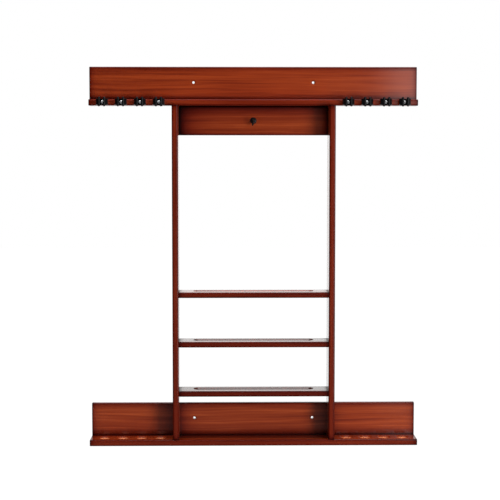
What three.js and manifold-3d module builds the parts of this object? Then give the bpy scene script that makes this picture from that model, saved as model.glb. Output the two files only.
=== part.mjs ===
// Wall rack for billiard cues and balls, in millimetres.
// +Z is up, the wall is the plane y = 0, and the front of the rack faces -Y.
// The origin is on the wall, midway between the two upper wall-screw holes.
// Inside the "rack" group heights are counted from the rack's bottom edge.

import * as THREE from 'three';
import * as BufferGeometryUtils from 'three/addons/utils/BufferGeometryUtils.js';
import Module from 'manifold-3d';

const wasm = await Module();
wasm.setup();

// ---- driving dimensions ----------------------------------------------------

const WIDTH = 790;
const HEIGHT = 912;
const DEPTH = 76;
const BOARD = 15; // thickness of every board but the ball shelves
const EDGE_ROUND = 3.5; // radius on the long edges of every board

const BACK_BOARD_TALL = 94; // top and bottom back boards
const RAIL_FRONT = 42; // clip rail's front face, from the wall
const WALL_SCREW_SPACING = 289;
const WALL_SCREW_LINE = 56.5; // above each back board's lower edge
const WALL_HOLE_RADIUS = 3;
const WALL_COUNTERSINK_RADIUS = 5.5;

const UPRIGHT_SPAN = 390; // over the outer faces of the two uprights
const HOOK_PANEL_TALL = 70.5;
const SHELF_BOTTOMS = { upper: 358, middle: 238.5, lower: 119 };
const SHELF_THICK = 13.5;
const SHELF_DEPTH = 70;
const SHELF_BACK = 3; // gap from the wall to a shelf's back edge

const GROOVE_LENGTH = 292;
const GROOVE_WIDTH = 31;
const GROOVE_DEPTH = 6;
const GROOVE_FROM_WALL = 33;

const CUE_OFFSETS = [-361.5, -316.5, -271.5, -226.5, 226.5, 271.5, 316.5, 361.5];
const DISH_RADIUS = 16;
const DISH_DEPTH = 5.5;
const DISH_FROM_WALL = 46;
const HOLLOW_STEPS = 4; // steps of a groove's or dish's curve, rim to middle

const CLIP_ABOVE_RAIL_MIDDLE = 1;
const CLIP_TALL = 15.5;
const CLIP_RING_RADIUS = 13; // middle of the arms' thickness
const CLIP_ARM_THICK = 3;
const CLIP_SEAT_CENTRE = 11.5; // from the rail's front face
const CLIP_FLOOR = 3; // thickness behind the cue
const CLIP_ROOT_ANGLE = THREE.MathUtils.degToRad(54); // from the rail side, where an arm flexes
const CLIP_LIP_ANGLE = THREE.MathUtils.degToRad(152);
const CLIP_ROOT_GAP = 0.4;
const LIP_RADIUS = 3;
const LIP_TALL = 23;

const WOOD_SCREW = { head: 4, headDepth: 2.2, shank: 1.9, length: 40, tip: 4 };
const BACK_SCREW = { head: 4, headDepth: 2.2, shank: 1.9, length: 35, tip: 4 };
const CLIP_SCREW = { head: 3.7, headDepth: 2.2, shank: 1.7, length: 18, tip: 4 };
const SCREW_CLEARANCE = 0.15;
const BACK_SCREW_X = 300; // the screws into the rail and the ledge from behind

const HOOK = {
  flangeRadius: 8, flangeThick: 1.6, wire: 2.2, thread: 12, neck: 5, turn: 3.5, bowl: 7, rise: 3,
  ball: 3.2, swing: THREE.MathUtils.degToRad(12),
};

// ---- heights and places worked out from them ------------------------------

const TOP_BOARD_BOTTOM = HEIGHT - BACK_BOARD_TALL;
const RAIL_TOP = TOP_BOARD_BOTTOM + BOARD;
const UPPER_SCREW_HEIGHT = TOP_BOARD_BOTTOM + WALL_SCREW_LINE;
const INNER_SPAN = UPRIGHT_SPAN - 2 * BOARD;
const UPRIGHT_X = (UPRIGHT_SPAN - BOARD) / 2;
const HOOK_HEIGHT = TOP_BOARD_BOTTOM - HOOK_PANEL_TALL / 2;
const CLIP_HEIGHT = TOP_BOARD_BOTTOM + BOARD / 2 + CLIP_ABOVE_RAIL_MIDDLE;
const CUT_PAST = 1; // how far a cutter runs past the face it cuts

const OUT_OF_WALL = new THREE.Vector3(0, -1, 0);
const INTO_WALL = new THREE.Vector3(0, 1, 0);
const UP = new THREE.Vector3(0, 0, 1);
const DOWN = new THREE.Vector3(0, 0, -1);
// turns a section drawn in x and y, and extruded along z, into one in y and z along x
const ALONG_X = new THREE.Matrix4().makeBasis(INTO_WALL, UP, new THREE.Vector3(1, 0, 0));

// ---- materials --------------------------------------------------------------

const mahogany = new THREE.MeshStandardMaterial({ color: 0x82321a, roughness: 0.35, metalness: 0 });
const blackPlastic = new THREE.MeshStandardMaterial({ color: 0x0c0c0d, roughness: 0.4, metalness: 0 });
const steel = new THREE.MeshStandardMaterial({ color: 0xb9bbbd, roughness: 0.3, metalness: 1 });
const blackMetal = new THREE.MeshStandardMaterial({ color: 0x141315, roughness: 0.35, metalness: 0.6 });

// ---- turning three.js geometry into solids and back ------------------------

function toSolid(geometry) {
  const bare = geometry.clone();
  bare.deleteAttribute('normal');
  bare.deleteAttribute('uv');
  const merged = BufferGeometryUtils.mergeVertices(bare, 1e-4);
  return new wasm.Manifold(new wasm.Mesh({
    numProp: 3,
    vertProperties: new Float32Array(merged.attributes.position.array),
    triVerts: new Uint32Array(merged.index.array),
  }));
}

function toGeometry(solid) {
  const mesh = solid.getMesh();
  const geometry = new THREE.BufferGeometry();
  geometry.setAttribute('position', new THREE.BufferAttribute(mesh.vertProperties, 3));
  geometry.setIndex(new THREE.BufferAttribute(mesh.triVerts, 1));
  return BufferGeometryUtils.toCreasedNormals(geometry, Math.PI / 6);
}

// A shape drawn in x and y, extruded along z and centred on z = 0.
function slab(shape, thickness, curveSegments) {
  const options = { depth: thickness, bevelEnabled: false, curveSegments };
  return new THREE.ExtrudeGeometry(shape, options).translate(0, 0, -thickness / 2);
}

function cylinder(radius, length, segments) {
  return new THREE.CylinderGeometry(radius, radius, length, segments);
}

// Turns a geometry made along +Y so that it points along a direction, then moves it.
function aim(geometry, direction, position) {
  const turn = new THREE.Quaternion().setFromUnitVectors(INTO_WALL, direction);
  return geometry.applyQuaternion(turn).translate(position.x, position.y, position.z);
}

// ---- screws -----------------------------------------------------------------

// Turns a profile of [radius, height] points, listed from the top down, about the Y axis.
function turned(profile, segments) {
  return new THREE.LatheGeometry(profile.map(([r, y]) => new THREE.Vector2(r, y)).reverse(), segments);
}

// Countersunk wood screw along Y: the head's face is at y = 0 and the point at y = -length.
function woodScrew({ head, headDepth, shank, length, tip }) {
  return turned([[0, 0], [head, 0], [shank, -headDepth], [shank, tip - length], [0, -length]], 10);
}

// Hole for a countersunk screw, with a little clearance all round.
function woodScrewHole({ head, headDepth, shank, length, tip }) {
  const c = SCREW_CLEARANCE;
  return turned([
    [0, CUT_PAST], [head + 2 * c, CUT_PAST], [head + 2 * c, 0], [shank + c, c - headDepth],
    [shank + c, tip - length], [0, -length - 2 * c],
  ], 10);
}

// Pan-head screw along Y: the head sits on y = 0 and the shank runs down from it.
function panScrew({ head, headDepth, shank, length, tip }) {
  return turned([
    [0, headDepth], [head * 0.75, headDepth * 0.8], [head, 0],
    [shank, 0], [shank, tip - length], [0, -length],
  ], 10);
}

// Every screw that holds boards together: where its head is and which way the head faces.
function joinerySpots() {
  const spots = [];
  const add = (name, size, outward, x, y, z) => {
    spots.push({ name, size, outward, at: new THREE.Vector3(x, y, z) });
  };
  const shelfY = -SHELF_BACK - SHELF_DEPTH / 2;
  for (const [side, sign] of Object.entries({ left: -1, right: 1 })) {
    const outward = new THREE.Vector3(sign, 0, 0);
    const outerFace = sign * UPRIGHT_SPAN / 2;
    const uprightX = sign * UPRIGHT_X;
    for (const [level, bottom] of Object.entries(SHELF_BOTTOMS)) {
      const z = bottom + SHELF_THICK / 2;
      add(`shelf_screw_${level}_${side}`, WOOD_SCREW, outward, outerFace, shelfY, z);
    }
    add(`hook_panel_screw_${side}`, WOOD_SCREW, outward, outerFace, -BOARD / 2, HOOK_HEIGHT);
    add(`rail_to_upright_screw_${side}`, WOOD_SCREW, UP, uprightX, -(BOARD + RAIL_FRONT) / 2, RAIL_TOP);
    add(`ledge_to_upright_screw_${side}`, WOOD_SCREW, DOWN, uprightX, -(BOARD + DEPTH) / 2, 0);
    const railMiddle = TOP_BOARD_BOTTOM + BOARD / 2;
    add(`rail_back_screw_${side}`, BACK_SCREW, INTO_WALL, sign * BACK_SCREW_X, 0, railMiddle);
  }
  for (const [place, sign] of Object.entries({ left: -1, middle: 0, right: 1 })) {
    add(`ledge_back_screw_${place}`, BACK_SCREW, INTO_WALL, sign * BACK_SCREW_X, 0, BOARD / 2);
  }
  return spots;
}

// ---- boards -----------------------------------------------------------------

function roundedRectangle(wide, tall, radius) {
  const x = wide / 2;
  const y = tall / 2;
  const shape = new THREE.Shape();
  shape.moveTo(x - radius, -y);
  shape.absarc(x - radius, -y + radius, radius, -Math.PI / 2, 0, false);
  shape.absarc(x - radius, y - radius, radius, 0, Math.PI / 2, false);
  shape.absarc(-x + radius, y - radius, radius, Math.PI / 2, Math.PI, false);
  shape.absarc(-x + radius, -y + radius, radius, Math.PI, 1.5 * Math.PI, false);
  return shape;
}

// A board as its two opposite corners, its long edges rounded. Its grain runs along x or z.
function board(low, high, grain) {
  const size = new THREE.Vector3().subVectors(high, low);
  const middle = new THREE.Vector3().addVectors(low, high).multiplyScalar(0.5);
  let geometry;
  if (grain === 'x') {
    geometry = slab(roundedRectangle(size.y, size.z, EDGE_ROUND), size.x, 2).applyMatrix4(ALONG_X);
  } else {
    geometry = slab(roundedRectangle(size.x, size.y, EDGE_ROUND), size.z, 2);
  }
  return geometry.translate(middle.x, middle.y, middle.z);
}

function backBoard(bottom) {
  const half = WIDTH / 2;
  const low = new THREE.Vector3(-half, -BOARD, bottom);
  const high = new THREE.Vector3(half, 0, bottom + BACK_BOARD_TALL);
  return toSolid(board(low, high, 'x'));
}

// Straight wall-screw hole, opened out to a countersink at the board's front face.
function wallHole(x, height) {
  const deepest = WALL_COUNTERSINK_RADIUS - WALL_HOLE_RADIUS;
  const cutter = turned([
    [0, CUT_PAST], [WALL_COUNTERSINK_RADIUS, CUT_PAST], [WALL_COUNTERSINK_RADIUS, 0],
    [WALL_HOLE_RADIUS, -deepest], [WALL_HOLE_RADIUS, -BOARD - CUT_PAST], [0, -BOARD - CUT_PAST],
  ], 14);
  return toSolid(aim(cutter, OUT_OF_WALL, new THREE.Vector3(x, -BOARD, height)));
}

function boardWithWallHoles(bottom) {
  let solid = backBoard(bottom);
  for (const sign of [-1, 1]) {
    solid = solid.subtract(wallHole(sign * WALL_SCREW_SPACING / 2, bottom + WALL_SCREW_LINE));
  }
  return solid;
}

// A full-width board lying flat against the front of a back board.
function crossBoard(front, bottom) {
  const low = new THREE.Vector3(-WIDTH / 2, -front, bottom);
  const high = new THREE.Vector3(WIDTH / 2, -BOARD, bottom + BOARD);
  return toSolid(board(low, high, 'x'));
}

// Section of a hollow that is part of a circle, as [distance from its middle, height] pairs
// from its rim down to its middle.
function hollowCurve(radius, depth) {
  const ball = (radius ** 2 + depth ** 2) / (2 * depth);
  const curve = [];
  for (let step = HOLLOW_STEPS; step >= 0; step -= 1) {
    const angle = Math.asin(radius / ball) * step / HOLLOW_STEPS;
    curve.push([ball * Math.sin(angle), ball * (1 - Math.cos(angle)) - depth]);
  }
  return curve;
}

// A round hollow sunk from the height `top`, ready to be cut away.
function bowl(radius, depth, x, fromWall, top) {
  const profile = [[0, CUT_PAST], [radius, CUT_PAST], ...hollowCurve(radius, depth)];
  return toSolid(aim(turned(profile, 18), UP, new THREE.Vector3(x, -fromWall, top)));
}

function buttLedge() {
  let solid = crossBoard(DEPTH, 0);
  for (const x of CUE_OFFSETS) {
    solid = solid.subtract(bowl(DISH_RADIUS, DISH_DEPTH, x, DISH_FROM_WALL, BOARD));
  }
  return solid;
}

// An upright stands on the ledge in front of the bottom back board, which it is notched over.
function upright(sign) {
  const x = sign * UPRIGHT_X;
  const low = new THREE.Vector3(x - BOARD / 2, -DEPTH, BOARD);
  const high = new THREE.Vector3(x + BOARD / 2, 0, TOP_BOARD_BOTTOM);
  const notchTall = BACK_BOARD_TALL + CUT_PAST;
  const notch = new THREE.BoxGeometry(BOARD + 2 * CUT_PAST, BOARD + CUT_PAST, notchTall);
  notch.translate(x, (CUT_PAST - BOARD) / 2, BACK_BOARD_TALL - notchTall / 2);
  return toSolid(board(low, high, 'z')).subtract(toSolid(notch));
}

function hookPanel() {
  const half = INNER_SPAN / 2;
  const low = new THREE.Vector3(-half, -BOARD, TOP_BOARD_BOTTOM - HOOK_PANEL_TALL);
  const high = new THREE.Vector3(half, 0, TOP_BOARD_BOTTOM);
  const depth = HOOK.thread + SCREW_CLEARANCE + CUT_PAST;
  const pilot = cylinder(HOOK.wire + SCREW_CLEARANCE, depth, 10);
  const at = new THREE.Vector3(0, -BOARD - CUT_PAST + depth / 2, HOOK_HEIGHT);
  return toSolid(board(low, high, 'x')).subtract(toSolid(aim(pilot, OUT_OF_WALL, at)));
}

function groove(top) {
  const radius = GROOVE_WIDTH / 2;
  const straight = GROOVE_LENGTH / 2 - radius;
  const half = [[radius, CUT_PAST], ...hollowCurve(radius, GROOVE_DEPTH)];
  const otherHalf = half.slice(0, -1).reverse().map(([y, z]) => [-y, z]);
  const section = new THREE.Shape([...half, ...otherHalf].map(([y, z]) => new THREE.Vector2(y, z)));
  const middle = slab(section, 2 * straight, 1).applyMatrix4(ALONG_X);
  let solid = toSolid(middle.translate(0, -GROOVE_FROM_WALL, top));
  for (const x of [-straight, straight]) {
    solid = solid.add(bowl(radius, GROOVE_DEPTH, x, GROOVE_FROM_WALL, top));
  }
  return solid;
}

function ballShelf(bottom) {
  const half = INNER_SPAN / 2;
  const low = new THREE.Vector3(-half, -SHELF_BACK - SHELF_DEPTH, bottom);
  const high = new THREE.Vector3(half, -SHELF_BACK, bottom + SHELF_THICK);
  return toSolid(board(low, high, 'x')).subtract(groove(high.z));
}

function woodenParts() {
  return {
    top_back_board: boardWithWallHoles(TOP_BOARD_BOTTOM),
    clip_rail: crossBoard(RAIL_FRONT, TOP_BOARD_BOTTOM),
    left_upright: upright(-1),
    right_upright: upright(1),
    hook_panel: hookPanel(),
    ball_shelf_upper: ballShelf(SHELF_BOTTOMS.upper),
    ball_shelf_middle: ballShelf(SHELF_BOTTOMS.middle),
    ball_shelf_lower: ballShelf(SHELF_BOTTOMS.lower),
    bottom_back_board: boardWithWallHoles(0),
    butt_ledge: buttLedge(),
  };
}

// ---- cue clip ---------------------------------------------------------------

// The clip's outline is drawn in x and y with the rail's front face at y = 0.
const SEAT = new THREE.Vector2(0, -CLIP_SEAT_CENTRE);
const RING_OUTER = CLIP_RING_RADIUS + CLIP_ARM_THICK / 2;
const RING_INNER = CLIP_RING_RADIUS - CLIP_ARM_THICK / 2;

// A point of the ring, its angle counted from the rail side towards +X.
function onRing(radius, angle) {
  return new THREE.Vector2(radius * Math.sin(angle), SEAT.y + radius * Math.cos(angle));
}

const ROOT = onRing(CLIP_RING_RADIUS, CLIP_ROOT_ANGLE);
const LIP = onRing(CLIP_RING_RADIUS, CLIP_LIP_ANGLE);

function clipBase() {
  const atRail = Math.acos(CLIP_SEAT_CENTRE / RING_OUTER);
  const atFloor = Math.acos((CLIP_SEAT_CENTRE - CLIP_FLOOR) / RING_INNER);
  const quarter = Math.PI / 2;
  const shape = new THREE.Shape();
  shape.moveTo(-onRing(RING_OUTER, atRail).x, 0);
  shape.absarc(0, SEAT.y, RING_OUTER, quarter + atRail, quarter + CLIP_ROOT_ANGLE, false);
  shape.absarc(0, SEAT.y, RING_INNER, quarter + CLIP_ROOT_ANGLE, quarter + atFloor, true);
  shape.absarc(0, SEAT.y, RING_INNER, quarter - atFloor, quarter - CLIP_ROOT_ANGLE, true);
  shape.absarc(0, SEAT.y, RING_OUTER, quarter - CLIP_ROOT_ANGLE, quarter - atRail, false);
  let solid = toSolid(slab(shape, CLIP_TALL, 3));
  const socket = CLIP_ARM_THICK / 2 + CLIP_ROOT_GAP;
  for (const sign of [-1, 1]) {
    const at = new THREE.Vector3(sign * ROOT.x, ROOT.y, 0);
    solid = solid.subtract(toSolid(aim(cylinder(socket, CLIP_TALL + 2 * CUT_PAST, 10), UP, at)));
  }
  const screwHole = cylinder(CLIP_SCREW.shank + SCREW_CLEARANCE, CLIP_FLOOR + 2 * CUT_PAST, 8);
  return solid.subtract(toSolid(aim(screwHole, OUT_OF_WALL, new THREE.Vector3(0, -CLIP_FLOOR / 2, 0))));
}

// The jaw on the +X side: an arc of the ring, rounded at its root, with an upright lip at its tip.
function clipJaw() {
  const quarter = Math.PI / 2;
  const rootTurn = quarter - CLIP_ROOT_ANGLE;
  const lipTurn = quarter - CLIP_LIP_ANGLE;
  const shape = new THREE.Shape();
  shape.absarc(0, SEAT.y, RING_OUTER, rootTurn, lipTurn, true);
  shape.absarc(0, SEAT.y, RING_INNER, lipTurn, rootTurn, false);
  shape.absarc(ROOT.x, ROOT.y, CLIP_ARM_THICK / 2, rootTurn + Math.PI, rootTurn, true);
  const arm = toSolid(slab(shape, CLIP_TALL, 6));
  const lip = new THREE.CapsuleGeometry(LIP_RADIUS, LIP_TALL - 2 * LIP_RADIUS, 2, 10, 1);
  return arm.add(toSolid(aim(lip, UP, new THREE.Vector3(LIP.x, LIP.y, 0))));
}

// ---- hook -------------------------------------------------------------------

// Side view of the hook's wire, y out from the panel's front and z from the screw's centre line.
// It runs straight out, turns down, goes round the bowl and rises to the tip.
class HookWire extends THREE.Curve {
  getPoint(t, target = new THREE.Vector3()) {
    const { thread, neck, turn, bowl, rise } = HOOK;
    const straight = thread + neck;
    const bend = turn * Math.PI / 2;
    const round = bowl * Math.PI;
    const s = t * (straight + bend + round + rise);
    if (s < straight) return target.set(0, thread - s, 0);
    if (s < straight + bend) {
      const angle = (s - straight) / turn;
      return target.set(0, -neck - turn * Math.sin(angle), turn * (Math.cos(angle) - 1));
    }
    if (s < straight + bend + round) {
      const angle = (s - straight - bend) / bowl;
      const y = -neck - turn - bowl * (1 - Math.cos(angle));
      return target.set(0, y, -turn - bowl * Math.sin(angle));
    }
    return target.set(0, -neck - turn - 2 * bowl, s - straight - bend - round - turn);
  }
}

function screwHook() {
  const wireShape = new THREE.Shape().absarc(0, 0, HOOK.wire, 0, 2 * Math.PI, false);
  const path = new HookWire();
  const wire = new THREE.ExtrudeGeometry(wireShape, { steps: 24, extrudePath: path, curveSegments: 4 });
  const flange = aim(
    cylinder(HOOK.flangeRadius, HOOK.flangeThick, 20),
    OUT_OF_WALL,
    new THREE.Vector3(0, -HOOK.flangeThick / 2, 0),
  );
  const tip = path.getPoint(1);
  const ball = new THREE.SphereGeometry(HOOK.ball, 10, 6).translate(tip.x, tip.y, tip.z);
  return toSolid(wire).add(toSolid(flange)).add(toSolid(ball));
}

// ---- assembly ---------------------------------------------------------------

const ORIGIN = new THREE.Vector3();

function meshAt(name, geometry, material, position) {
  const mesh = new THREE.Mesh(geometry, material);
  mesh.name = name;
  mesh.position.copy(position);
  return mesh;
}

// A board keeps its own centre, so its mesh can be placed by position.
function boardMesh(name, solid) {
  const geometry = toGeometry(solid);
  geometry.computeBoundingBox();
  const centre = geometry.boundingBox.getCenter(new THREE.Vector3());
  geometry.translate(-centre.x, -centre.y, -centre.z);
  return meshAt(name, geometry, mahogany, centre);
}

const clipParts = {
  base: toGeometry(clipBase()),
  jaw: toGeometry(clipJaw()),
  screw: panScrew(CLIP_SCREW),
};

function cueClip(number, x) {
  const clip = new THREE.Group();
  clip.position.set(x, -RAIL_FRONT, CLIP_HEIGHT);
  clip.add(meshAt(`clip_${number}_base`, clipParts.base, blackPlastic, ORIGIN));
  clip.add(meshAt(`clip_${number}_right_jaw`, clipParts.jaw, blackPlastic, ORIGIN));
  const leftJaw = meshAt(`clip_${number}_left_jaw`, clipParts.jaw, blackPlastic, ORIGIN);
  leftJaw.rotation.y = Math.PI;
  clip.add(leftJaw);
  const floor = new THREE.Vector3(0, -CLIP_FLOOR, 0);
  const screw = meshAt(`clip_${number}_screw`, clipParts.screw, steel, floor);
  screw.quaternion.setFromUnitVectors(INTO_WALL, OUT_OF_WALL);
  clip.add(screw);
  return clip;
}

// The pilot hole that a clip's screw needs in the rail.
function clipPilot(x) {
  const depth = CLIP_SCREW.length - CLIP_FLOOR + SCREW_CLEARANCE + CUT_PAST;
  const at = new THREE.Vector3(x, -RAIL_FRONT - CUT_PAST + depth / 2, CLIP_HEIGHT);
  return toSolid(aim(cylinder(CLIP_SCREW.shank + SCREW_CLEARANCE, depth, 10), OUT_OF_WALL, at));
}

function buildRack() {
  const rack = new THREE.Group();
  const spots = joinerySpots();
  const holes = spots.map(({ size, at, outward }) => toSolid(aim(woodScrewHole(size), outward, at)));
  const drilled = wasm.Manifold.union(holes.concat(CUE_OFFSETS.map(clipPilot)));

  for (const [name, solid] of Object.entries(woodenParts())) {
    rack.add(boardMesh(name, solid.subtract(drilled)));
  }
  for (const { name, size, at, outward } of spots) {
    const screw = meshAt(name, woodScrew(size), steel, at);
    screw.quaternion.setFromUnitVectors(INTO_WALL, outward);
    rack.add(screw);
  }
  CUE_OFFSETS.forEach((x, index) => rack.add(cueClip(index + 1, x)));

  const hookAt = new THREE.Vector3(0, -BOARD, HOOK_HEIGHT);
  const hook = meshAt('screw_hook', toGeometry(screwHook()), blackMetal, hookAt);
  hook.rotation.y = HOOK.swing;
  rack.add(hook);

  rack.position.z = -UPPER_SCREW_HEIGHT;
  return rack;
}

const wallCueRack = new THREE.Group();
wallCueRack.add(buildRack());

export default wallCueRack;
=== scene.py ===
import math

import bmesh
import bpy
from mathutils import Matrix, Vector


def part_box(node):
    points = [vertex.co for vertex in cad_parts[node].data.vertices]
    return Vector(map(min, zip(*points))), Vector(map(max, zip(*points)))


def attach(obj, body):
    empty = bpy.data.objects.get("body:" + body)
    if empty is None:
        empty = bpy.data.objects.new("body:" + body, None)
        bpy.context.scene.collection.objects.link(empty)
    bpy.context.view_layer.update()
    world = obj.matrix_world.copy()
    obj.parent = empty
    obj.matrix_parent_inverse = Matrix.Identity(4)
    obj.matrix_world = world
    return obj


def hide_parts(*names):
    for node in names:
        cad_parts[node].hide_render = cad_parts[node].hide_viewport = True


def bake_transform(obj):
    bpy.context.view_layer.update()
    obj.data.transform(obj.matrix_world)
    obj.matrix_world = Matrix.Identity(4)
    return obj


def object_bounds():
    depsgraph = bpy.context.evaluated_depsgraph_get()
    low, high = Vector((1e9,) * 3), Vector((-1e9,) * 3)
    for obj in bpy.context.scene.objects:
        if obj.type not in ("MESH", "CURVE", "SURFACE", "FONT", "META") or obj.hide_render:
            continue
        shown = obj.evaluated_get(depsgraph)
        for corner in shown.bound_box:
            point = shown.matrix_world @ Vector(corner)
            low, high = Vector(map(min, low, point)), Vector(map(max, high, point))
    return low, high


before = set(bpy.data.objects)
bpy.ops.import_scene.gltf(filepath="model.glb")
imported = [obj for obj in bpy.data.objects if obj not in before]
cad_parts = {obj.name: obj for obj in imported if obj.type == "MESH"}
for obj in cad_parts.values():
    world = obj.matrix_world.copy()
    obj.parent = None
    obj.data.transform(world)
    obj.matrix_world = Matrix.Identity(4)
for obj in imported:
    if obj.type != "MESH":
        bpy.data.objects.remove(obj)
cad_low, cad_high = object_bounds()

# Looks for a wall rack for billiard cues and balls: stained wooden boards, black sprung cue clips,
# bright screws and a black screw hook. Metres, +Z up, the wall at y = 0 and the front facing -Y.

MM = 0.001
X, Y, Z = Vector((1, 0, 0)), Vector((0, 1, 0)), Vector((0, 0, 1))
ROOT_BODY = "rack"
CLIP_NUMBERS = range(1, 9)
SIDES = {"left": -1, "right": 1}

# ---- sizes of details that the CAD boxes don't give -------------------------------------------

EDGE_ROUND = 3.5 * MM
ROUND_STEPS, END_STEPS = 6, 4
FREE_END_ROUND, BUTTED_END_ROUND = 1.2 * MM, 0.3 * MM

GROOVE_LENGTH, GROOVE_WIDTH, GROOVE_DEPTH = 292 * MM, 31 * MM, 6 * MM
GROOVE_FROM_WALL = 33 * MM
DISH_RADIUS, DISH_DEPTH = 16 * MM, 5.5 * MM
DISH_FROM_WALL = 46 * MM
LIP_ROUND = 0.8 * MM

WALL_HOLE_X, WALL_SCREW_LINE = 144.5 * MM, 56.5 * MM
WALL_HOLE_RADIUS, WALL_SINK_RADIUS, WALL_HOLE_LIP = 3 * MM, 5.5 * MM, 0.3 * MM

SCREW_HEAD_RADIUS, SCREW_HEAD_DEPTH, SCREW_SHANK = 4 * MM, 2.2 * MM, 1.9 * MM
PAN_HEAD_RADIUS, PAN_HEAD_DEPTH, PAN_SHANK = 3.7 * MM, 2.2 * MM, 1.7 * MM
SCREW_PLAIN, PAN_PLAIN, SCREW_POINT = 12 * MM, 4 * MM, 4 * MM
SCREW_CROSS, PAN_CROSS, CROSS_DEPTH = 2.2 * MM, 2.1 * MM, 1.5 * MM
SCREW_CLEARANCE = 0.15 * MM
THREAD_PITCH, THREAD_DEPTH, THREAD_ROWS = 1.8 * MM, 0.45 * MM, 5
SCREW_SIDES = 34

CLIP_RING, CLIP_THICK, CLIP_TALL = 13 * MM, 3 * MM, 15.5 * MM
CLIP_SEAT_CENTRE, CLIP_FLOOR = 11.5 * MM, 3 * MM
CLIP_ROOT_ANGLE, CLIP_LIP_ANGLE = math.radians(54), math.radians(152)
CLIP_EDGE_ROUND, LIP_RADIUS, LIP_TALL = 0.9 * MM, 3 * MM, 23 * MM
# how far round the ring the base stops short of the root, the arm starts inside the base,
#  and a bend at the root would spread to either side of it
BASE_SHORT, ARM_BURIED, BLEND_REACH = math.radians(4), math.radians(13), math.radians(9)

HOOK_WIRE, HOOK_FLANGE, HOOK_BALL = 2.2 * MM, 8 * MM, 3.2 * MM
HOOK_THREAD, HOOK_NECK, HOOK_TURN, HOOK_BOWL, HOOK_RISE = 12 * MM, 5 * MM, 3.5 * MM, 7 * MM, 3 * MM
HOOK_SWING = math.radians(12)

# how far a cutter starts outside the face that it cuts, and how close two points are to be one
PAST, WELD = 2 * MM, 0.001 * MM

# ---- mesh helpers -------------------------------------------------------------------------------


def stack(rings):
    """A mesh through rings that all have the same number of points, capped at both ends."""
    bm = bmesh.new()
    rows = [[bm.verts.new(point) for point in ring] for ring in rings]
    count = len(rows[0])
    for lower, upper in zip(rows, rows[1:]):
        for i in range(count):
            j = (i + 1) % count
            bm.faces.new((lower[i], lower[j], upper[j], upper[i]))
    bm.faces.new(rows[0][::-1])
    bm.faces.new(rows[-1])
    bmesh.ops.remove_doubles(bm, verts=bm.verts, dist=1e-7)
    bmesh.ops.recalc_face_normals(bm, faces=bm.faces)
    return bm


def outline_ring(half_straight, radius, height, steps):
    """A round-ended outline about the z axis: two half circles joined by straights along x."""
    points = []
    for side in (1, -1):
        for i in range(steps + 1):
            angle = math.pi * (i / steps - side / 2)
            x = side * half_straight + radius * math.cos(angle)
            points.append(Vector((x, radius * math.sin(angle), height)))
    return points


def turned(profile, steps=16, half_straight=0.0):
    """A solid from (radius, height) pairs about the z axis, stretched along x for a slot."""
    return stack([outline_ring(half_straight, max(r, 1e-9), h, steps) for r, h in profile])


def arc(centre_r, centre_h, radius, start, end, steps):
    """(radius, height) pairs round an arc, with angles in degrees from the +r direction."""
    points = []
    for i in range(steps + 1):
        angle = math.radians(start + (end - start) * i / steps)
        points.append((centre_r + radius * math.cos(angle), centre_h + radius * math.sin(angle)))
    return points


def rounded_section(thick, tall, corner, steps=3):
    """(across, up) pairs round a rectangle with rounded corners."""
    points = []
    for quarter, (sx, sz) in enumerate(((1, 1), (-1, 1), (-1, -1), (1, -1))):
        start = 90 * quarter
        points += arc(sx * (thick / 2 - corner), sz * (tall / 2 - corner), corner, start, start + 90, steps)
    return points


def to_mesh(bm, name):
    mesh = bpy.data.meshes.new(name)
    bm.to_mesh(mesh)
    bm.free()
    return mesh


def add_object(name, mesh, matrix=None):
    obj = bpy.data.objects.new(name, mesh)
    bpy.context.scene.collection.objects.link(obj)
    if matrix is not None:
        obj.matrix_world = matrix
    return obj


def aimed(direction, at):
    """The matrix that turns +Z to a direction and moves the origin to a point."""
    return Matrix.Translation(at) @ direction.to_track_quat("Z", "Y").to_matrix().to_4x4()


def combined(parts):
    """One bmesh from (bmesh, matrix) pairs, in world space."""
    whole = bmesh.new()
    for part, matrix in parts:
        part.transform(matrix)
        mesh = to_mesh(part, "part")
        whole.from_mesh(mesh)
        bpy.data.meshes.remove(mesh)
    return whole


def boolean(mesh, tool, operation):
    """The mesh cut by or joined with the tool mesh. Both are used up."""
    base, other = add_object("base", mesh), add_object("tool", tool)
    modifier = base.modifiers.new("boolean", "BOOLEAN")
    modifier.operation, modifier.solver, modifier.object = operation, "EXACT", other
    bpy.context.view_layer.update()
    evaluated = base.evaluated_get(bpy.context.evaluated_depsgraph_get())
    result = bpy.data.meshes.new_from_object(evaluated)
    for obj in (base, other):
        old = obj.data
        bpy.data.objects.remove(obj)
        bpy.data.meshes.remove(old)
    bm = bmesh.new()
    bm.from_mesh(result)
    bmesh.ops.remove_doubles(bm, verts=bm.verts, dist=WELD)
    bmesh.ops.dissolve_degenerate(bm, edges=bm.edges, dist=WELD)
    bm.to_mesh(result)
    bm.free()
    return result


def smooth(obj, degrees=32):
    """Smooth shading that stays crisp at edges, with flat faces kept flat."""
    mesh = obj.data
    mesh.shade_smooth()
    mesh.set_sharp_from_angle(angle=math.radians(degrees))
    modifier = obj.modifiers.new("even_normals", "WEIGHTED_NORMAL")
    modifier.keep_sharp = True
    modifier.weight = 80
    return obj


def finish_piece(obj, material, slot, *nodes):
    obj.data.materials.clear()
    obj.data.materials.append(material)
    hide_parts(*nodes)
    return obj


# ---- procedural materials -------------------------------------------------------------------------


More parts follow.
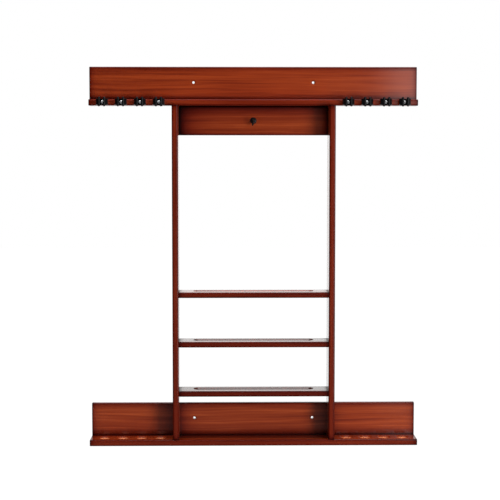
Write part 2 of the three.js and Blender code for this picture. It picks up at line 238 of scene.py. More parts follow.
class Nodes:
    """The node tree of a material or world, with short calls to add and link nodes."""

    def __init__(self, owner):
        owner.use_nodes = True
        self.owner, self.tree = owner, owner.node_tree
        self.tree.nodes.clear()

    def add(self, kind, inputs=None, **settings):
        node = self.tree.nodes.new(kind)
        for key, value in settings.items():
            setattr(node, key, value)
        for key, value in (inputs or {}).items():
            if isinstance(value, bpy.types.NodeSocket):
                self.tree.links.new(value, node.inputs[key])
            else:
                node.inputs[key].default_value = value
        return node

    def math(self, operation, a, b=0.0, c=0.0):
        return self.add("ShaderNodeMath", {0: a, 1: b, 2: c}, operation=operation).outputs[0]

    def blend(self, share, a, b, how="MIX"):
        """Colour a turning into b. The node's colour sockets are its inputs 6 and 7 and output 2."""
        node = self.add("ShaderNodeMix", data_type="RGBA", blend_type=how)
        for index, value in ((0, share), (6, a), (7, b)):
            if isinstance(value, bpy.types.NodeSocket):
                self.tree.links.new(value, node.inputs[index])
            else:
                node.inputs[index].default_value = value
        return node.outputs[2]

    def noise(self, vector, scale, detail=2.0, roughness=0.5):
        inputs = {"Vector": vector, "Scale": scale, "Detail": detail, "Roughness": roughness}
        return self.add("ShaderNodeTexNoise", inputs).outputs["Fac"]

    def ramp(self, value, low, high, to_low=0.0, to_high=1.0):
        inputs = {"Value": value, "From Min": low, "From Max": high, "To Min": to_low, "To Max": to_high}
        return self.add("ShaderNodeMapRange", inputs, interpolation_type="SMOOTHSTEP").outputs[0]

    def scaled(self, vector, scale, shift=(0, 0, 0)):
        inputs = {"Vector": vector, "Scale": scale, "Location": shift}
        return self.add("ShaderNodeMapping", inputs).outputs[0]

    def bump(self, height, strength, distance):
        inputs = {"Height": height, "Strength": strength, "Distance": distance}
        return self.add("ShaderNodeBump", inputs).outputs[0]

    def surface(self, **inputs):
        principled = self.add("ShaderNodeBsdfPrincipled", inputs)
        output = self.add("ShaderNodeOutputMaterial")
        self.tree.links.new(principled.outputs[0], output.inputs["Surface"])
        return self.owner


def material_nodes(name):
    return Nodes(bpy.data.materials.new(name))


WOOD_DARK = (0.120, 0.0120, 0.0020, 1)
WOOD_MID = (0.200, 0.0260, 0.0042, 1)
WOOD_LIGHT = (0.320, 0.0560, 0.0120, 1)
# painted highlight: a pale colour standing in for the lamp mirrored in the ledge's dishes
PAINTED_DISH_HIGHLIGHT_COLOUR = (0.600, 0.190, 0.080, 1)
EDGE_STAIN, EDGE_REACH = 0.90, 6.5 * MM


def lightness(nodes, gap, strength, reach):
    """What is let through at a distance from a line: the edge stain at a board's edge, and the painted shade
    along an inside corner.
    """
    dark = nodes.math("EXPONENT", nodes.math("DIVIDE", gap, -reach))
    return nodes.math("SUBTRACT", 1.0, nodes.math("MULTIPLY", dark, strength))


def between_edges(nodes, place, half):
    """What the stain lets through along one axis of a board that runs from -half to half."""
    share = 1.0
    for side in (-1, 1):
        gap = nodes.math("MAXIMUM", nodes.math("MULTIPLY_ADD", place, side, half), 0.0)
        share = nodes.math("MULTIPLY", share, lightness(nodes, gap, EDGE_STAIN, EDGE_REACH))
    return share


def least(nodes, shares):
    return nodes.math("MINIMUM", nodes.math("MINIMUM", shares[0], shares[1]), shares[2])


def edge_stain(nodes, shares):
    """What the stain lets through on a face, from how far it is to the face's four edges."""
    product = nodes.math("MULTIPLY", nodes.math("MULTIPLY", shares[0], shares[1]), shares[2])
    return nodes.math("DIVIDE", product, least(nodes, shares))


def painted_corner_shade(nodes, position, half, corners):
    """Painted shade: how much light a board keeps near its inside corners, where its neighbours shade it,
    none of them at its back.
    """
    front = nodes.ramp(position.outputs["Y"], -half.y, half.y, 1.0, 0.0)
    share = 1.0
    for axis, low, high, strength, reach in corners:
        place = position.outputs[axis]
        below, above = nodes.math("SUBTRACT", low, place), nodes.math("SUBTRACT", place, high)
        gap = nodes.math("MAXIMUM", nodes.math("MAXIMUM", below, above), 0.0)
        here = nodes.math("MULTIPLY", front, strength) if axis != "Y" else strength
        share = nodes.math("MULTIPLY", share, lightness(nodes, gap, here, reach))
    return share


def wood_grain(nodes, position, grain, seed):
    """Streaks, fibres, pores and clouds, as a dictionary of values from 0 to 1."""
    along, across = ("X", "Z") if grain == "x" else ("Z", "X")
    place = nodes.add("ShaderNodeCombineXYZ", {
        "X": position.outputs[along], "Y": position.outputs["Y"], "Z": position.outputs[across],
    }).outputs[0]
    shift = (seed * 3.17, seed * 1.31, seed * 0.77)

    # every scale is in repeats per metre: (along the grain, through the board, across the grain)
    drift = nodes.noise(nodes.scaled(place, (2.2, 14, 14), shift), 1.0, 2.0, 0.5)
    bend = nodes.math("MULTIPLY", nodes.math("SUBTRACT", drift, 0.5), 0.022)
    local = nodes.add("ShaderNodeSeparateXYZ", {0: place})
    swept = nodes.add("ShaderNodeCombineXYZ", {
        "X": local.outputs["X"], "Y": local.outputs["Y"], "Z": nodes.math("ADD", local.outputs["Z"], bend),
    }).outputs[0]
    pores = nodes.noise(nodes.scaled(swept, (60, 1500, 2300), shift), 1.0, 1.0)
    return {
        "streaks": nodes.noise(nodes.scaled(swept, (2.8, 70, 135), shift), 1.0, 3.0, 0.55),
        "lines": nodes.noise(nodes.scaled(swept, (6.0, 240, 460), shift), 1.0, 2.0, 0.5),
        "fibre": nodes.noise(nodes.scaled(swept, (16, 900, 1500), shift), 1.0, 2.0, 0.6),
        "pores": nodes.ramp(pores, 0.62, 0.74),
        "cloud": nodes.noise(nodes.scaled(place, (4.0, 12, 16), shift), 1.0, 2.0, 0.5),
    }


def bare_colour(nodes, grain, tone_and_painted_light):
    """The stained wood's colour away from edges and corners, made lighter or darker by the board's tone and
    painted light.
    """
    figure = 0.5 + tone_and_painted_light
    for part, strength in (("streaks", 1.6), ("lines", 0.9), ("fibre", 0.45), ("cloud", 0.6)):
        swing = nodes.math("MULTIPLY", nodes.math("SUBTRACT", grain[part], 0.5), strength)
        figure = nodes.math("ADD", figure, swing)
    darker = nodes.blend(nodes.ramp(figure, 0.0, 0.5), WOOD_DARK, WOOD_MID)
    colour = nodes.blend(nodes.ramp(figure, 0.45, 1.1), darker, WOOD_LIGHT)
    return nodes.blend(nodes.math("MULTIPLY", grain["pores"], 0.30), colour, WOOD_DARK)


def wood(name, half, corners, direction, seed, tone_and_painted_light, painted_recess_light):
    """Stained, lacquered wood for a board of half sizes `half`, with its grain along x or z."""
    nodes = material_nodes(name)
    position = nodes.add("ShaderNodeSeparateXYZ", {0: nodes.add("ShaderNodeTexCoord").outputs["Object"]})
    grain = wood_grain(nodes, position, direction, seed)

    shares = [between_edges(nodes, position.outputs[axis], size) for axis, size in zip("XYZ", half)]
    edge = edge_stain(nodes, shares)
    # painted shade: darker towards the inside corners where neighbours shade the board, multiplied into the
    # edge stain
    stain_and_shade_share = nodes.math("MULTIPLY", edge, painted_corner_shade(nodes, position, half, corners))
    redder = nodes.math("POWER", stain_and_shade_share, 1.7)
    stain_and_shade_colour = nodes.add("ShaderNodeCombineColor", {"Red": stain_and_shade_share, "Green": redder, "Blue": redder}).outputs[0]
    colour = nodes.blend(1.0, bare_colour(nodes, grain, tone_and_painted_light), stain_and_shade_colour, "MULTIPLY")

    # only the inside of a groove, dish or hole is far from every face of its board; there the colour gets
    # painted shade in holes and a painted highlight in the ledge's dishes
    painted_recess_colour, painted_recess_strength = painted_recess_light
    painted_recess_mask = nodes.ramp(least(nodes, shares), 0.27, 0.46, 0.0, painted_recess_strength)
    colour = nodes.blend(painted_recess_mask, colour, painted_recess_colour)

    fibre_relief = nodes.math("MULTIPLY", grain["fibre"], 0.5)
    relief = nodes.math("SUBTRACT", fibre_relief, nodes.math("MULTIPLY", grain["pores"], 0.8))
    lacquer = nodes.ramp(edge, 0.15, 0.90, 0.32, 1.0)
    return nodes.surface(**{
        "Base Color": colour,
        "Roughness": nodes.math("MULTIPLY_ADD", grain["fibre"], 0.10, 0.30),
        "Specular IOR Level": nodes.math("MULTIPLY", lacquer, 0.12),
        "Normal": nodes.bump(relief, 0.25, 0.10 * MM),
        "Coat Weight": lacquer,
        "Coat Roughness": nodes.math("MULTIPLY_ADD", grain["cloud"], 0.10, 0.06),
    })


def black_plastic():
    nodes = material_nodes("black_moulded_plastic")
    place = nodes.add("ShaderNodeTexCoord").outputs["Object"]
    grain = nodes.noise(place, 2600.0, 2.0, 0.6)
    sheen = nodes.noise(place, 160.0, 2.0, 0.5)
    colour = nodes.blend(sheen, (0.0020, 0.0020, 0.0024, 1), (0.0050, 0.0050, 0.0054, 1))
    return nodes.surface(**{
        "Base Color": colour,
        "Specular IOR Level": 0.20,
        "Roughness": nodes.ramp(sheen, 0.3, 0.7, 0.12, 0.20),
        "Normal": nodes.bump(grain, 0.10, 0.05 * MM),
    })


def bright_steel():
    nodes = material_nodes("zinc_plated_steel")
    place = nodes.add("ShaderNodeTexCoord").outputs["Object"]
    lines = nodes.noise(nodes.scaled(place, (400, 400, 4000)), 1.0, 2.0, 0.6)
    tarnish = nodes.noise(place, 500.0, 3.0, 0.6)
    colour = nodes.blend(tarnish, (0.66, 0.67, 0.69, 1), (0.86, 0.86, 0.86, 1))
    return nodes.surface(**{
        "Base Color": colour,
        "Metallic": 0.7,
        "Roughness": nodes.ramp(tarnish, 0.3, 0.7, 0.26, 0.44),
        "Normal": nodes.bump(lines, 0.08, 0.03 * MM),
    })


def black_enamel():
    nodes = material_nodes("black_enamelled_metal")
    place = nodes.add("ShaderNodeTexCoord").outputs["Object"]
    orange_peel = nodes.noise(place, 700.0, 2.0, 0.5)
    wear = nodes.ramp(nodes.noise(place, 260.0, 4.0, 0.65), 0.66, 0.78)
    colour = nodes.blend(wear, (0.006, 0.005, 0.005, 1), (0.030, 0.026, 0.024, 1))
    return nodes.surface(**{
        "Base Color": colour,
        "Specular IOR Level": 0.22,
        "Roughness": nodes.ramp(orange_peel, 0.3, 0.7, 0.16, 0.28),
        "Normal": nodes.bump(orange_peel, 0.12, 0.05 * MM),
    })


# ---- screws -----------------------------------------------------------------------------------------


def threaded(core, length):
    """Rings of a screw's thread from z = 0 down to its point, ready for stack()."""
    rings = []
    rows = int(length / (THREAD_PITCH / THREAD_ROWS))
    for row in range(rows + 1):
        depth = length * row / rows
        taper = min(1.0, (length - depth) / SCREW_POINT)
        ring = []
        for i in range(SCREW_SIDES):
            angle = 2 * math.pi * i / SCREW_SIDES
            phase = (depth / THREAD_PITCH - angle / (2 * math.pi)) % 1.0
            ridge = max(0.0, 1 - abs(phase - 0.5) / 0.32) * min(1.0, depth / THREAD_PITCH)
            radius = max(1e-5, taper * (core - THREAD_DEPTH * (1 - ridge)))
            ring.append(Vector((radius * math.cos(angle), radius * math.sin(angle), -depth)))
        rings.append(ring)
    return rings


def cross_recess(radius, depth):
    """The tapered cross that a driver fits, pointing down from z = 0."""
    arms = []
    for turn in (0, math.pi / 2):
        top, bottom, thick = radius, radius * 0.25, radius * 0.16
        rings = []
        for reach, height in ((top, depth * 0.3), (top, 0), (bottom, -depth)):
            corners = ((-reach, -thick), (reach, -thick), (reach, thick), (-reach, thick))
            rings.append([Vector((x, y, height)) for x, y in corners])
        arms.append((stack(rings), Matrix.Rotation(turn, 4, "Z")))
    first = to_mesh(combined(arms[:1]), "cross")
    return boolean(first, to_mesh(combined(arms[1:]), "cross"), "UNION")


def screw_mesh(name, head_profile, shank, plain, length, cross_radius, cross_at):
    """A whole screw about the z axis, its head up and its point down."""
    rings = []
    angles = [2 * math.pi * i / SCREW_SIDES for i in range(SCREW_SIDES)]
    for radius, height in head_profile + [(shank, -plain)]:
        radius = max(radius, 1e-6)
        rings.append([Vector((radius * math.cos(a), radius * math.sin(a), height)) for a in angles])
    for ring in threaded(shank, length - plain):
        rings.append([point - Z * plain for point in ring])
    body = to_mesh(stack(rings), name)
    cross = cross_recess(cross_radius, CROSS_DEPTH)
    cross.transform(Matrix.Translation(Z * cross_at))
    return boolean(body, cross, "DIFFERENCE")


def countersunk_screw(length):
    profile = [(0, 0), (SCREW_HEAD_RADIUS * 0.97, 0), (SCREW_HEAD_RADIUS, -0.15 * MM),
               (SCREW_SHANK, -SCREW_HEAD_DEPTH)]
    return screw_mesh("countersunk_screw", profile, SCREW_SHANK, SCREW_PLAIN, length, SCREW_CROSS, 0)


def pan_screw(length):
    dome = [(PAN_HEAD_RADIUS * math.sin(math.radians(a)), PAN_HEAD_DEPTH * math.cos(math.radians(a)))
            for a in range(0, 91, 15)]
    profile = dome + [(PAN_SHANK, 0)]
    return screw_mesh("pan_screw", profile, PAN_SHANK, PAN_PLAIN, length, PAN_CROSS, PAN_HEAD_DEPTH)


def screw_facing(node):
    """The way a board screw's head faces, from what it joins."""
    if node.startswith(("shelf_screw", "hook_panel_screw")):
        return -X if node.endswith("left") else X
    if node.startswith("rail_to_upright"):
        return Z
    if node.startswith("ledge_to_upright"):
        return -Z
    return Y


def screw_head_at(node, facing):
    """The centre of the screw's head face."""
    low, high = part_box(node)
    centre = (low + high) / 2
    reach = abs((high - low).dot(facing)) / 2
    return centre + facing * reach


BOARD_SCREWS = sorted(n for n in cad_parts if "screw" in n and "clip" not in n and n != "screw_hook")


def make_board_screws(material):
    meshes = {}
    for node in BOARD_SCREWS:
        facing = screw_facing(node)
        low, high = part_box(node)
        length = abs((high - low).dot(facing))
        key = round(length / MM)
        if key not in meshes:
            meshes[key] = countersunk_screw(length)
        screw = add_object(node + "_finish", meshes[key].copy(), aimed(facing, screw_head_at(node, facing)))
        finish_piece(smooth(screw), material, "screw_steel", node)
        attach(screw, ROOT_BODY)


# ---- boards -----------------------------------------------------------------------------------------


def block(size, grain, end_round):
    """A board about the origin, its long edges well rounded and the edges of its ends softened."""
    length, wide, tall = (size.x, size.y, size.z) if grain == "x" else (size.z, size.x, size.y)
    turns = [math.pi / 2 * i / END_STEPS for i in range(END_STEPS + 1)]
    ends = [(end_round * (1 - math.cos(turn)), end_round * (1 - math.sin(turn))) for turn in turns]
    stations = [(gap - length / 2, inset) for gap, inset in ends]
    stations += [(length / 2 - gap, inset) for gap, inset in reversed(ends)]
    rings = []
    for place, inset in stations:
        section = rounded_section(wide - 2 * inset, tall - 2 * inset, EDGE_ROUND - inset, ROUND_STEPS)
        if grain == "x":
            rings.append([Vector((place, a, b)) for a, b in section])
        else:
            rings.append([Vector((a, b, place)) for a, b in section])
    return stack(rings)


def hollow(radius, depth):
    """(radius, height) pairs of a hollow whose section is part of a circle, with a softened rim."""
    ball = (radius ** 2 + depth ** 2) / (2 * depth)
    rim = math.degrees(math.asin(radius / ball))
    curve = arc(0, ball - depth, ball, rim - 90, -90, 12)
    edge = radius + LIP_ROUND
    return [(edge, PAST), (edge, -0.02 * MM), (radius + 0.35 * LIP_ROUND, -0.12 * MM)] + curve[1:]


def wall_hole(thickness):
    """(radius, height) pairs of a countersunk hole right through a board, its lip softened."""
    sink = WALL_SINK_RADIUS - WALL_HOLE_RADIUS
    lip = WALL_HOLE_LIP
    return [(WALL_SINK_RADIUS + lip, PAST), (WALL_SINK_RADIUS + lip, -0.02 * MM),
            (WALL_SINK_RADIUS - lip, -2 * lip), (WALL_HOLE_RADIUS, -sink - lip),
            (WALL_HOLE_RADIUS, -thickness - PAST)]


def screw_hole(length):
    """(radius, height) pairs of the countersunk hole that a board screw sits in."""
    gap = SCREW_CLEARANCE
    return [(SCREW_HEAD_RADIUS + 2 * gap, PAST), (SCREW_HEAD_RADIUS + 2 * gap, -gap),
            (SCREW_SHANK + gap, -SCREW_HEAD_DEPTH), (SCREW_SHANK + gap, SCREW_POINT - length),
            (0, -length - gap)]


def screw_cutters(low, high):
    """Cutters for the screw holes that reach into a board's box, in world space."""
    cutters = []
    for node in BOARD_SCREWS:
        screw_low, screw_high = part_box(node)
        if all(a < d and b > c for a, b, c, d in zip(screw_low, screw_high, low, high)):
            facing = screw_facing(node)
            length = abs((screw_high - screw_low).dot(facing))
            cutters.append((turned(screw_hole(length), 12), aimed(facing, screw_head_at(node, facing))))
    return cutters


def cue_places():
    """Where each cue stands along x."""
    boxes = [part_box(f"clip_{number}_base") for number in CLIP_NUMBERS]
    return [(low.x + high.x) / 2 for low, high in boxes]


def clip_pilots():
    """Cutters for the holes that the clips' screws need in the rail."""
    cutters = []
    for number in CLIP_NUMBERS:
        low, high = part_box(f"clip_{number}_screw")
        centre = (low + high) / 2
        rail_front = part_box("clip_rail")[0].y
        radius, end = PAN_SHANK + SCREW_CLEARANCE, rail_front - high.y
        profile = [(radius, PAST), (radius, end + 2 * MM), (0, end - SCREW_CLEARANCE)]
        cutters.append((turned(profile, 12), aimed(-Y, Vector((centre.x, rail_front, centre.z)))))
    return cutters


def notch_cutter(low, high):
    """What an upright leaves out of its lower back corner to fit over the bottom back board."""
    board_low, board_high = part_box("bottom_back_board")
    corners = [(low.x - PAST, board_low.y), (high.x + PAST, board_low.y),
               (high.x + PAST, high.y + PAST), (low.x - PAST, high.y + PAST)]
    rings = [[Vector((x, y, z)) for x, y in corners] for z in (low.z - PAST, board_high.z)]
    return stack(rings), Matrix()


def own_cutters(node, low, high):
    """The grooves, dishes and holes that one board has of its own."""
    if node.startswith("ball_shelf"):
        straight = (GROOVE_LENGTH - GROOVE_WIDTH) / 2
        groove = turned(hollow(GROOVE_WIDTH / 2, GROOVE_DEPTH), 20, straight)
        return [(groove, Matrix.Translation((0, -GROOVE_FROM_WALL, high.z)))]
    if node == "butt_ledge":
        places = [Vector((x, -DISH_FROM_WALL, high.z)) for x in cue_places()]
        return [(turned(hollow(DISH_RADIUS, DISH_DEPTH), 24), Matrix.Translation(place)) for place in places]
    if node == "clip_rail":
        return clip_pilots()
    if node == "hook_panel":
        radius = HOOK_WIRE + SCREW_CLEARANCE
        pilot = [(radius, PAST), (radius, -HOOK_THREAD), (0, -HOOK_THREAD)]
        return [(turned(pilot, 12), aimed(-Y, Vector((0, low.y, (low.z + high.z) / 2))))]
    if node.endswith("upright"):
        return [notch_cutter(low, high)]
    if node in ("top_back_board", "bottom_back_board"):
        profile = wall_hole(high.y - low.y)
        places = [Vector((side * WALL_HOLE_X, low.y, low.z + WALL_SCREW_LINE)) for side in (-1, 1)]
        return [(turned(profile, 16), aimed(-Y, place)) for place in places]
    return []


# colours painted into recesses: painted shade in the back boards' holes, a painted highlight in the ledge's
# dishes
PLAIN = (WOOD_DARK, 0.0)
PAINTED_HOLE_SHADE = (WOOD_DARK, 0.9)
PAINTED_DISH_HIGHLIGHT = (PAINTED_DISH_HIGHLIGHT_COLOUR, 0.85)

# node: (grain direction, whether its ends are free, seed for its figure, lighter or darker, partly its own
# tone and partly painted light
#        matching how lit it looks (the lower shelf darkest, furthest from the lamps), the colour of its
#        grooves, dishes or holes (painted shade in holes, a painted highlight in dishes) and how strong that
#        is)
BOARDS = {
    "top_back_board": ("x", True, 3, -0.14, PAINTED_HOLE_SHADE),
    "clip_rail": ("x", True, 8, 0.15, PLAIN),
    "left_upright": ("z", False, 5, 0.0, PLAIN),
    "right_upright": ("z", False, 11, 0.0, PLAIN),
    "hook_panel": ("x", False, 6, 0.1, PLAIN),
    "ball_shelf_upper": ("x", False, 9, -0.20, PLAIN),
    "ball_shelf_middle": ("x", False, 14, -0.20, PLAIN),
    "ball_shelf_lower": ("x", False, 21, -0.42, PLAIN),
    "bottom_back_board": ("x", True, 17, 0.06, PAINTED_HOLE_SHADE),
    "butt_ledge": ("x", True, 12, -0.15, PAINTED_DISH_HIGHLIGHT),
}

# node: inside corners that get painted shade, where a neighbour shades the board, as (neighbour, axis away
# from it, strength, reach)
PAINTED_SHADE_CORNERS = {
    "top_back_board": [("clip_rail", "Z", 0.80, 9 * MM)],
    "hook_panel": [("clip_rail", "Z", 1.0, 18 * MM), ("left_upright", "X", 1.0, 33 * MM),
                   ("right_upright", "X", 0.80, 6 * MM)],
    "bottom_back_board": [("butt_ledge", "Z", 0.90, 13 * MM), ("left_upright", "X", 0.75, 20 * MM),
                          ("right_upright", "X", 0.45, 10 * MM)],
    "butt_ledge": [("bottom_back_board", "Y", 0.90, 15 * MM)],
}


def painted_shade_corners_of(node, centre):
    """A board's inside corners as (axis, low, high, strength, reach), from the board's centre."""
    corners = []
    for neighbour, axis, strength, reach in PAINTED_SHADE_CORNERS.get(node, []):
        index = "XYZ".index(axis)
        low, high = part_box(neighbour)
        corners.append((axis, low[index] - centre[index], high[index] - centre[index], strength, reach))
    return corners


def make_board(node, grain, free_ends, seed, tone_and_painted_light, painted_recess_light):
    low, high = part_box(node)
    size, centre = high - low, (low + high) / 2
    mesh = to_mesh(block(size, grain, FREE_END_ROUND if free_ends else BUTTED_END_ROUND), node)
    cutters = own_cutters(node, low, high) + screw_cutters(low, high)
    if cutters:
        tool = combined(cutters)
        tool.transform(Matrix.Translation(-centre))
        mesh = boolean(mesh, to_mesh(tool, "cutters"), "DIFFERENCE")
    board = add_object(node + "_finish", mesh, Matrix.Translation(centre))
    material = wood(node + "_wood", size / 2, painted_shade_corners_of(node, centre), grain, seed, tone_and_painted_light, painted_recess_light)
    finish_piece(smooth(board), material, "mahogany", node)
    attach(board, ROOT_BODY)


# ---- cue clips ------------------------------------------------------------------------------------------


def ring_point(radius, angle):
    """A point of the clip's ring in x and y, its angle counted from the rail side towards +X."""
    return Vector((radius * math.sin(angle), -CLIP_SEAT_CENTRE + radius * math.cos(angle), 0))


def clip_arm(side):
    """One springy arm with its lip, about the clip's centre on the rail face. side is -1 or 1."""
    start, steps = CLIP_ROOT_ANGLE - ARM_BURIED, 26
    rings = []
    for i in range(steps + 1):
        share = i / steps
        angle = start + (CLIP_LIP_ANGLE - start) * share
        thick = CLIP_THICK * (1 - 0.12 * math.sin(math.pi * share))
        ring = []
        for across, up in rounded_section(thick, CLIP_TALL, CLIP_EDGE_ROUND):
            point = ring_point(CLIP_RING + across, angle)
            ring.append(Vector((side * point.x, point.y, up)))
        rings.append(ring)
    lip_at = ring_point(CLIP_RING, CLIP_LIP_ANGLE)
    half = LIP_TALL / 2 - LIP_RADIUS
    profile = arc(0, half, LIP_RADIUS, 90, 0, 6) + arc(0, -half, LIP_RADIUS, 0, -90, 6)
    lip = combined([(turned(profile, 11), Matrix.Translation((side * lip_at.x, lip_at.y, 0)))])
    return boolean(to_mesh(stack(rings), "clip_arm"), to_mesh(lip, "lip"), "UNION")


def clip_base():
    """The clip's back: a plate behind the cue that runs out into the roots of both arms."""
    outer, inner = CLIP_RING + CLIP_THICK / 2, CLIP_RING - CLIP_THICK / 2
    at_rail = math.acos(CLIP_SEAT_CENTRE / outer)
    at_floor = math.acos((CLIP_SEAT_CENTRE - CLIP_FLOOR) / inner)
    end = CLIP_ROOT_ANGLE - BASE_SHORT
    outline = []
    steps = 5
    for side in (1, -1):
        half = [ring_point(outer, at_rail + (end - at_rail) * i / steps) for i in range(steps + 1)]
        half += [ring_point(inner, end + (at_floor - end) * i / steps) for i in range(steps + 1)]
        half = [Vector((side * p.x, p.y, 0)) for p in half]
        outline += half if side == 1 else half[::-1]
    bm = bmesh.new()
    face = bm.faces.new([bm.verts.new(p - Z * CLIP_TALL / 2) for p in outline])
    grown = bmesh.ops.extrude_face_region(bm, geom=[face])
    moved = [v for v in grown["geom"] if isinstance(v, bmesh.types.BMVert)]
    bmesh.ops.translate(bm, verts=moved, vec=(0, 0, CLIP_TALL))
    bmesh.ops.recalc_face_normals(bm, faces=bm.faces)
    rims = [e for e in bm.edges if abs(e.verts[0].co.z - e.verts[1].co.z) < 1e-6]
    bmesh.ops.bevel(bm, geom=rims, offset=0.5 * MM, segments=2, profile=0.5, affect="EDGES",
                    clamp_overlap=True)
    shank = PAN_SHANK + SCREW_CLEARANCE
    hole = turned([(shank, CLIP_FLOOR + MM), (shank, -MM)], 12)
    tool = combined([(hole, aimed(-Y, Vector()))])
    return boolean(to_mesh(bm, "clip_base"), to_mesh(tool, "hole"), "DIFFERENCE")


def make_jaw(number, name, arm_mesh, middle, plastic):
    """One arm at the clip's middle, in the clip's plastic, standing in for the jaw's part."""
    side, jaw = SIDES[name], f"clip_{number}_{name}_jaw"
    arm = add_object(f"clip_{number}_{name}_arm", arm_mesh.copy(), Matrix.Translation(middle))
    finish_piece(smooth(arm), plastic, "clip_plastic", jaw)
    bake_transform(arm)


def make_clips(plastic, steel):
    screw_low, screw_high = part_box("clip_1_screw")
    base_mesh = clip_base()
    screw_shape = pan_screw(screw_high.y - screw_low.y - PAN_HEAD_DEPTH)
    arms = {name: clip_arm(side) for name, side in SIDES.items()}
    for number in CLIP_NUMBERS:
        low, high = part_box(f"clip_{number}_base")
        middle = Vector(((low.x + high.x) / 2, high.y, (low.z + high.z) / 2))
        base = add_object(f"clip_{number}_base_finish", base_mesh.copy(), Matrix.Translation(middle))
        finish_piece(smooth(base), plastic, "clip_plastic", f"clip_{number}_base")
        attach(base, ROOT_BODY)

        for name, arm_mesh in arms.items():
            make_jaw(number, name, arm_mesh, middle, plastic)

        seat = Vector((middle.x, screw_low.y + PAN_HEAD_DEPTH, middle.z))
        turn = Matrix.Rotation(math.radians(37 * number), 4, "Z")
        screw = add_object(f"clip_{number}_screw_finish", screw_shape.copy(), aimed(-Y, seat) @ turn)
        finish_piece(smooth(screw), steel, "screw_steel", f"clip_{number}_screw")
        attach(screw, ROOT_BODY)


# ---- hook -------------------------------------------------------------------------------------------------


def hook_path(s):
    """Point and direction at length s along the hook's wire, seen from the side as (y, z)."""
    straight, bend, round_ = HOOK_THREAD + HOOK_NECK, HOOK_TURN * math.pi / 2, HOOK_BOWL * math.pi
    out = HOOK_NECK + HOOK_TURN
    if s < straight:
        return (HOOK_THREAD - s, 0), (-1, 0)
    if s < straight + bend:
        a = (s - straight) / HOOK_TURN
        point = (-HOOK_NECK - HOOK_TURN * math.sin(a), HOOK_TURN * (math.cos(a) - 1))
        return point, (-math.cos(a), -math.sin(a))
    if s < straight + bend + round_:
        a = (s - straight - bend) / HOOK_BOWL
        point = (-out - HOOK_BOWL * (1 - math.cos(a)), -HOOK_TURN - HOOK_BOWL * math.sin(a))
        return point, (-math.sin(a), -math.cos(a))
    return (-out - 2 * HOOK_BOWL, s - straight - bend - round_ - HOOK_TURN), (0, 1)


def hook_stations():
    """(length along the wire, radius) pairs: threaded end, domed flange, wire and ball tip."""
    stations = [(0, 0.1 * MM)]
    rows = 24
    for i in range(1, rows):
        s = (HOOK_THREAD - 0.5 * MM) * i / rows
        ridge = 1 - abs((s / THREAD_PITCH) % 1.0 - 0.5) / 0.5
        stations.append((s, min(1.0, s / (3 * MM)) * (HOOK_WIRE - THREAD_DEPTH * (1 - ridge))))
    rim, dome = 0.3 * MM, 2.0 * MM
    stations += [(HOOK_THREAD, HOOK_WIRE), (HOOK_THREAD, HOOK_FLANGE - rim), (HOOK_THREAD + rim, HOOK_FLANGE)]
    for degrees in range(15, 91, 15):
        a = math.radians(degrees)
        radius = HOOK_WIRE + (HOOK_FLANGE - HOOK_WIRE) * math.cos(a) ** 0.7
        stations.append((HOOK_THREAD + rim + dome * math.sin(a), radius))
    end = HOOK_THREAD + HOOK_NECK + HOOK_TURN * math.pi / 2 + HOOK_BOWL * math.pi + HOOK_RISE
    start = HOOK_THREAD + rim + dome + 0.3 * MM
    join = end - math.sqrt(HOOK_BALL ** 2 - HOOK_WIRE ** 2)
    bends = 44
    stations += [(start + (join - start) * i / bends, HOOK_WIRE) for i in range(bends + 1)]
    for degrees in range(-30, 91, 15):
        a = math.radians(degrees)
        stations.append((end + HOOK_BALL * math.sin(a), HOOK_BALL * max(math.cos(a), 1e-7)))
    return stations


def make_hook(material):
    rings = []
    around = 20
    for s, radius in hook_stations():
        (y, z), (dy, dz) = hook_path(s)
        ring = []
        for i in range(around):
            a = 2 * math.pi * i / around
            side, up = radius * math.cos(a), radius * math.sin(a)
            ring.append(Vector((side, y - up * dz, z + up * dy)))
        rings.append(ring)
    low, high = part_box("hook_panel")
    at = Vector((0, low.y, (low.z + high.z) / 2))
    place = Matrix.Translation(at) @ Matrix.Rotation(HOOK_SWING, 4, "Y")
    hook = add_object("screw_hook_finish", to_mesh(stack(rings), "screw_hook"), place)
    finish_piece(smooth(hook, 40), material, "hook_metal", "screw_hook")
    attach(hook, ROOT_BODY)


# ---- stage, light and camera ------------------------------------------------------------------------------

FLOOR_DROP, FLOOR_HALF = 0.5, 14
CAMERA_AT = Vector((-0.0609, -3.267, -0.1742))
CAMERA_DOWN, CAMERA_RIGHT = math.radians(4.06), math.radians(0.93)
CAMERA_LENS, CAMERA_SENSOR = 96.5, 36.0


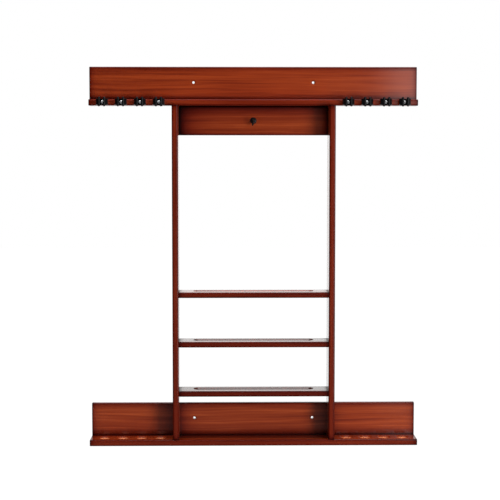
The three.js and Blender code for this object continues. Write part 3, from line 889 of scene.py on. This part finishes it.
def make_floor():
    """A plain pale floor that hides nothing from below: the view and the lamp there pass through it."""
    bm = bmesh.new()
    bmesh.ops.create_grid(bm, x_segments=1, y_segments=1, size=FLOOR_HALF)
    floor = add_object("floor", to_mesh(bm, "floor"), Matrix.Translation((0, 0, cad_low.z - FLOOR_DROP)))
    nodes = material_nodes("pale_floor")
    place = nodes.add("ShaderNodeTexCoord").outputs["Object"]
    tint = nodes.blend(nodes.noise(place, 3.0), (0.025, 0.025, 0.025, 1), (0.035, 0.035, 0.035, 1))
    matt = nodes.add("ShaderNodeBsdfDiffuse", {"Color": tint}).outputs[0]
    path = nodes.add("ShaderNodeLightPath").outputs

    # the rack mirrors the floor only far behind it, where it is as pale as the world
    depth = nodes.add("ShaderNodeSeparateXYZ", {0: place}).outputs["Y"]
    lit = nodes.math("MAXIMUM", path["Is Camera Ray"], nodes.ramp(depth, 2.2, 3.2, 0.06, 1.0))
    strength = nodes.math("MULTIPLY", lit, 1.02)
    glow = nodes.add("ShaderNodeEmission", {"Color": (1, 1, 1, 1), "Strength": strength})
    pale = nodes.add("ShaderNodeAddShader", {0: matt, 1: glow.outputs[0]}).outputs[0]

    clear = nodes.add("ShaderNodeBsdfTransparent").outputs[0]
    below = nodes.add("ShaderNodeNewGeometry").outputs["Backfacing"]
    unseen = nodes.math("MAXIMUM", below, path["Is Shadow Ray"])
    both = nodes.add("ShaderNodeMixShader", {0: unseen, 1: pale, 2: clear}).outputs[0]
    nodes.add("ShaderNodeOutputMaterial", {"Surface": both})
    floor.data.materials.append(nodes.owner)


def make_world():
    """White to the camera. What the rack mirrors is a dark studio, paler behind, above and right."""
    world = bpy.data.worlds.new("studio")
    bpy.context.scene.world = world
    nodes = Nodes(world)
    direction = nodes.add("ShaderNodeSeparateXYZ", {0: nodes.add("ShaderNodeTexCoord").outputs["Generated"]})
    behind = nodes.ramp(direction.outputs["Y"], 0.93, 0.975)
    right = nodes.ramp(direction.outputs["X"], 0.6, 0.95)
    above = nodes.ramp(direction.outputs["Z"], 0.35, 0.9)
    level = nodes.blend(right, (0.012, 0.012, 0.012, 1), (0.30, 0.29, 0.28, 1))
    level = nodes.blend(behind, level, (1.05, 1.04, 1.03, 1))
    level = nodes.blend(above, level, (0.15, 0.15, 0.15, 1))
    seen = nodes.add("ShaderNodeLightPath").outputs["Is Camera Ray"]
    colour = nodes.blend(seen, level, (1, 1, 1, 1))
    background = nodes.add("ShaderNodeBackground", {"Color": colour, "Strength": 1.0}).outputs[0]
    nodes.add("ShaderNodeOutputWorld", {"Surface": background})


# name: (place, width, height, watts, whether it is seen in gloss), all aimed at the rack's middle
LAMPS = {
    "front_key": ((-0.3, -2.2, 3.0), 2.4, 1.4, 22, True),
    "front_fill": ((-0.9, -3.0, -1.1), 1.6, 2.0, 24, False),
    "top_light": ((0.0, -0.25, 2.0), 2.6, 0.8, 140, False),
    "right_key": ((2.1, -2.7, -0.9), 1.2, 2.0, 105, False),
    "right_gloss": ((1.9, -2.8, -0.5), 1.0, 2.4, 22, True),
    "right_haze": ((1.50, -3.25, -0.8), 1.7, 2.8, 27, True),
    "overhead": ((0.45, 0.30, 1.9), 2.4, 1.0, 25, True),
    "under_fill": ((-0.2, -0.7, -3.2), 2.2, 1.6, 31, False),
}


def make_lamps():
    middle = (cad_low + cad_high) / 2
    for name, (place, width, height, watts, in_gloss) in LAMPS.items():
        light = bpy.data.lights.new(name, "AREA")
        light.shape, light.size, light.size_y = "RECTANGLE", width, height
        light.energy = watts
        lamp = bpy.data.objects.new(name, light)
        bpy.context.scene.collection.objects.link(lamp)
        at = Vector(place)
        lamp.location = at
        lamp.rotation_euler = (middle - at).to_track_quat("-Z", "Y").to_euler()
        lamp.visible_camera = False
        lamp.visible_glossy = in_gloss


def make_camera():
    camera = bpy.data.objects.new("camera", bpy.data.cameras.new("camera"))
    bpy.context.scene.collection.objects.link(camera)
    camera.data.lens, camera.data.sensor_width = CAMERA_LENS, CAMERA_SENSOR
    camera.location = CAMERA_AT
    camera.rotation_euler = (math.pi / 2 - CAMERA_DOWN, 0, -CAMERA_RIGHT)
    bpy.context.scene.camera = camera
    bpy.context.scene.view_settings.view_transform = "Standard"


# ---- build ----------------------------------------------------------------------------------------------

steel = bright_steel()
for board_node, look in BOARDS.items():
    make_board(board_node, *look)
make_board_screws(steel)
make_clips(black_plastic(), steel)
make_hook(black_enamel())
make_floor()
make_world()
make_lamps()
make_camera()
